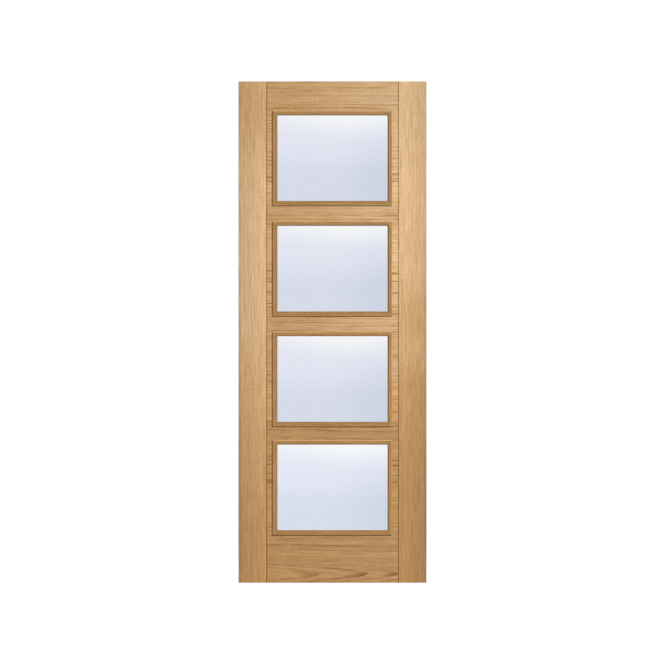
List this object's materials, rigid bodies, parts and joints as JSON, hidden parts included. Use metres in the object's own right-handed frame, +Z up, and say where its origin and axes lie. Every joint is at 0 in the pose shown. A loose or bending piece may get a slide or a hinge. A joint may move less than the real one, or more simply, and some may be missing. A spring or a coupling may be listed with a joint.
{
  "type": "glazed oak door leaf",
  "caption": "Glazed oak door leaf: upright stiles, stacked cross boards with V grooves, and clear panes held by raised mitred beads on both faces.",
  "frame": {"origin": "foot of the hinge edge, on the flat outer face of its lipping, at the middle of the leaf's thickness", "axes": "+Z up, +X from the hinge edge to the lock edge, -Y out of the front face"},
  "size_m": [0.762, 0.045, 2.032],
  "materials": {
    "oak_stile": "satin clear lacquer on oak, upright grain",
    "oak_lipping": "satin clear lacquer on solid oak edge strip",
    "oak_board": "satin clear lacquer on oak, level grain",
    "oak_bead": "satin clear lacquer on solid oak moulding",
    "clear_glass": "clear toughened sheet glass"
  },
  "bodies": {
    "root": {"bottom_board": "oak_board", "glass_pane_1": "clear_glass", "glass_pane_2": "clear_glass", "glass_pane_3": "clear_glass", "glass_pane_4": "clear_glass", "hinge_edge_lipping": "oak_lipping", "hinge_stile": "oak_stile", "lock_edge_lipping": "oak_lipping", "lock_stile": "oak_stile", "lower_board": "oak_board", "middle_board": "oak_board", "pane_1_back_bottom_bead": "oak_bead", "pane_1_back_hinge_side_bead": "oak_bead", "pane_1_back_lock_side_bead": "oak_bead", "pane_1_back_top_bead": "oak_bead", "pane_1_front_bottom_bead": "oak_bead", "pane_1_front_hinge_side_bead": "oak_bead", "pane_1_front_lock_side_bead": "oak_bead", "pane_1_front_top_bead": "oak_bead", "pane_2_back_bottom_bead": "oak_bead", "pane_2_back_hinge_side_bead": "oak_bead", "pane_2_back_lock_side_bead": "oak_bead", "pane_2_back_top_bead": "oak_bead", "pane_2_front_bottom_bead": "oak_bead", "pane_2_front_hinge_side_bead": "oak_bead", "pane_2_front_lock_side_bead": "oak_bead", "pane_2_front_top_bead": "oak_bead", "pane_3_back_bottom_bead": "oak_bead", "pane_3_back_hinge_side_bead": "oak_bead", "pane_3_back_lock_side_bead": "oak_bead", "pane_3_back_top_bead": "oak_bead", "pane_3_front_bottom_bead": "oak_bead", "pane_3_front_hinge_side_bead": "oak_bead", "pane_3_front_lock_side_bead": "oak_bead", "pane_3_front_top_bead": "oak_bead", "pane_4_back_bottom_bead": "oak_bead", "pane_4_back_hinge_side_bead": "oak_bead", "pane_4_back_lock_side_bead": "oak_bead", "pane_4_back_top_bead": "oak_bead", "pane_4_front_bottom_bead": "oak_bead", "pane_4_front_hinge_side_bead": "oak_bead", "pane_4_front_lock_side_bead": "oak_bead", "pane_4_front_top_bead": "oak_bead", "top_board": "oak_board", "upper_board": "oak_board"}
  },
  "joints": []
}
